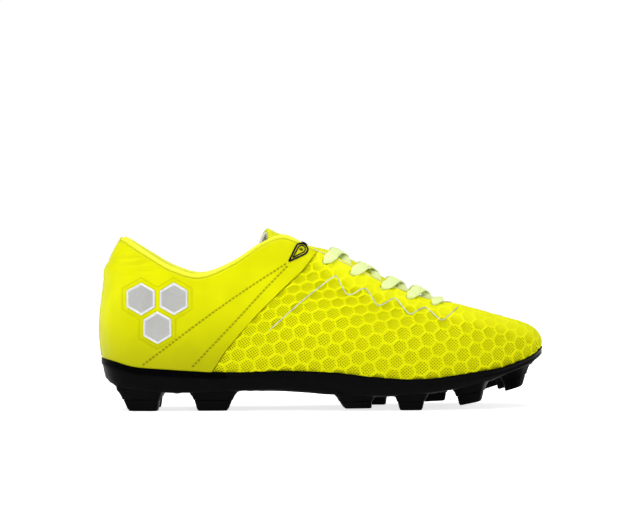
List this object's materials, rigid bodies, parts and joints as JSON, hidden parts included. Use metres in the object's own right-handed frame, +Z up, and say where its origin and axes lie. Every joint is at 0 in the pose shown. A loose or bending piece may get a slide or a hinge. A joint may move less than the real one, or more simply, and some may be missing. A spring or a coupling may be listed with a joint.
{
  "type": "soccer cleat",
  "caption": "Low-cut soccer cleat for the right foot: honeycomb knit upper, smooth heel, lace closure, folding tongue flap, moulded plate with bladed studs.",
  "frame": {"origin": "on the ground, under the middle of the shoe's length and width", "axes": "+X towards the toe, +Y towards the medial (inner) side, +Z up"},
  "size_m": [0.2806, 0.0974, 0.1136],
  "materials": {
    "plate_black": "satin moulded",
    "stud_black": "semi-gloss moulded",
    "knit_yellow": "matt coated knit with a honeycomb relief",
    "tongue_yellow": "matt padded textile",
    "leather_yellow": "smooth satin synthetic leather",
    "lining_pale": "matt textile",
    "foam_pale": "matt foam",
    "board_tan": "matt fibre board",
    "shank_nylon": "satin",
    "trim_silver": "metallic silver film",
    "patch_black": "satin film",
    "lace_pale": "matt flat woven",
    "aglet_clear": "gloss film"
  },
  "bodies": {
    "shoe": {"aglet_lateral": "aglet_clear", "aglet_medial": "aglet_clear", "collar_binding": "leather_yellow", "collar_foam": "foam_pale", "collar_lining": "lining_pale", "eyelet_patch_lateral": "patch_black", "eyelet_patch_medial": "patch_black", "eyestay_lateral": "leather_yellow", "eyestay_medial": "leather_yellow", "heel_counter": "board_tan", "heel_patch_front_lateral": "trim_silver", "heel_patch_front_medial": "trim_silver", "heel_patch_lower_lateral": "trim_silver", "heel_patch_lower_medial": "trim_silver", "heel_patch_rear_lateral": "trim_silver", "heel_patch_rear_medial": "trim_silver", "heel_strip": "leather_yellow", "insole_board": "board_tan", "lace": "lace_pale", "outsole": "plate_black", "quarter_lateral": "leather_yellow", "quarter_lining": "lining_pale", "quarter_medial": "leather_yellow", "shank": "shank_nylon", "sockliner": "foam_pale", "stud_tip_ball_lateral": "stud_black", "stud_tip_ball_medial": "stud_black", "stud_tip_fore_lateral": "stud_black", "stud_tip_fore_medial": "stud_black", "stud_tip_heel_lateral_front": "stud_black", "stud_tip_heel_lateral_rear": "stud_black", "stud_tip_heel_medial_front": "stud_black", "stud_tip_heel_medial_rear": "stud_black", "stud_tip_toe_lateral": "stud_black", "stud_tip_toe_medial": "stud_black", "stud_tip_waist_lateral": "stud_black", "stud_tip_waist_medial": "stud_black", "toe_puff": "board_tan", "tongue_lower": "tongue_yellow", "trim_line_lateral": "trim_silver", "trim_line_medial": "trim_silver", "vamp": "knit_yellow", "vamp_lining": "lining_pale"},
    "tongue": {"tongue_flap": "tongue_yellow"}
  },
  "joints": [
    {"name": "tongue_fold", "type": "hinge", "parent": "shoe", "child": "tongue", "pos_m": [-0.00291, 0, 0.09878], "axis": [0, 1, 0], "range_deg": [-5, 60], "stiffness_Nm_per_rad": 0.03}
  ]
}
